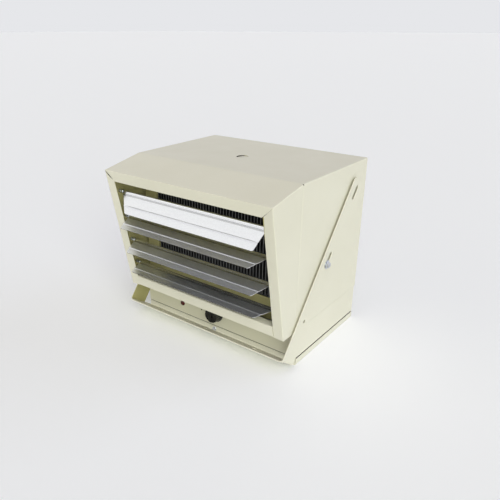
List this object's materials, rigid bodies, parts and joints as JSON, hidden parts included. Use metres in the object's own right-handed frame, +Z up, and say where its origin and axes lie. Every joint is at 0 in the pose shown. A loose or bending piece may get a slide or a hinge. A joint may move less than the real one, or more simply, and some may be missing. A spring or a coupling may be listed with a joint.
{
  "type": "ceiling mounted fan heater",
  "caption": "Electric unit heater in a folded sheet-steel case with a leaning louvered outlet, a rear fan behind a wire guard, a control panel underneath and a swing bracket",
  "frame": {"origin": "the middle of the bounding box at the underside of the case", "axes": "+X to the right seen from the front, +Y to the rear where air goes in, +Z up; the louvered outlet faces -Y"},
  "size_m": [0.3816, 0.3272, 0.331],
  "materials": {
    "almond_paint": "smooth semi-gloss powder coat",
    "aluminium_sheet": "mill finish rolled sheet",
    "zinc_plated_steel": "bright zinc plate",
    "galvanised_steel": "dull galvanised sheet",
    "black_steel": "matt black heat-resistant coat",
    "black_plastic": "satin moulded",
    "grey_plastic": "moulded",
    "red_lens": "translucent moulded lens"
  },
  "bodies": {
    "housing": {"lower_front_rail": "almond_paint", "louver_rail_left": "almond_paint", "louver_rail_right": "almond_paint", "hood": "almond_paint", "partition_plate": "galvanised_steel", "control_cabinet": "almond_paint", "bottom_cover": "almond_paint", "cover_screw": "zinc_plated_steel", "thermostat_body": "grey_plastic", "pilot_light_lens": "red_lens", "pilot_light_body": "grey_plastic", "terminal_block": "black_plastic", "contactor": "grey_plastic", "fan_delay_switch": "grey_plastic", "ground_screw": "zinc_plated_steel", "element_frame_left": "almond_paint", "element_frame_right": "almond_paint", "lower_baffle": "almond_paint", "upper_baffle": "almond_paint", "heating_element": "black_steel", "thermal_cutout": "grey_plastic", "rear_panel": "almond_paint", "fan_guard": "almond_paint", "guard_screw_1": "zinc_plated_steel", "guard_screw_2": "zinc_plated_steel", "guard_screw_3": "zinc_plated_steel", "guard_screw_4": "zinc_plated_steel", "motor_bracket": "galvanised_steel", "fan_motor": "black_steel", "motor_bolt_1": "zinc_plated_steel", "motor_bolt_2": "zinc_plated_steel", "top_knockout": "almond_paint", "bracket_washer_left": "zinc_plated_steel", "bracket_spacer_left": "zinc_plated_steel", "bracket_nut_left": "zinc_plated_steel", "bracket_screw_left": "zinc_plated_steel", "bracket_washer_right": "zinc_plated_steel", "bracket_spacer_right": "zinc_plated_steel", "bracket_nut_right": "zinc_plated_steel", "bracket_screw_right": "zinc_plated_steel"},
    "mounting_bracket": {"mounting_bracket": "almond_paint"},
    "fan": {"fan_blade": "aluminium_sheet", "fan_hub": "zinc_plated_steel", "motor_shaft": "zinc_plated_steel"},
    "thermostat_dial": {"thermostat_knob": "black_plastic", "thermostat_shaft": "zinc_plated_steel"},
    "louver_1": {"louver_1": "aluminium_sheet", "louver_rod_1": "zinc_plated_steel"},
    "louver_2": {"louver_2": "aluminium_sheet", "louver_rod_2": "zinc_plated_steel"},
    "louver_3": {"louver_3": "aluminium_sheet", "louver_rod_3": "zinc_plated_steel"},
    "louver_4": {"louver_4": "aluminium_sheet", "louver_rod_4": "zinc_plated_steel"}
  },
  "joints": [
    {"name": "louver_1_tilt", "type": "hinge", "parent": "housing", "child": "louver_1", "pos_m": [0, -0.13367, 0.27278], "axis": [1, 0, 0], "range_deg": [-91, 32]},
    {"name": "louver_2_tilt", "type": "hinge", "parent": "housing", "child": "louver_2", "pos_m": [0, -0.12422, 0.22225], "axis": [1, 0, 0], "range_deg": [-39, 84]},
    {"name": "louver_3_tilt", "type": "hinge", "parent": "housing", "child": "louver_3", "pos_m": [0, -0.11476, 0.17172], "axis": [1, 0, 0], "range_deg": [-40, 83]},
    {"name": "louver_4_tilt", "type": "hinge", "parent": "housing", "child": "louver_4", "pos_m": [0, -0.1053, 0.12119], "axis": [1, 0, 0], "range_deg": [-29, 60]},
    {"name": "bracket_swing", "type": "hinge", "parent": "housing", "child": "mounting_bracket", "pos_m": [0, 0.01629, 0.1676], "axis": [-1, 0, 0], "range_deg": [0, 55]},
    {"name": "fan_spin", "type": "hinge", "parent": "housing", "child": "fan", "pos_m": [0, 0, 0.20185], "axis": [0, 1, 0], "continuous": true},
    {"name": "thermostat_turn", "type": "hinge", "parent": "housing", "child": "thermostat_dial", "pos_m": [0.001, 0, 0.044], "axis": [0, 1, 0], "range_deg": [0, 270]}
  ]
}
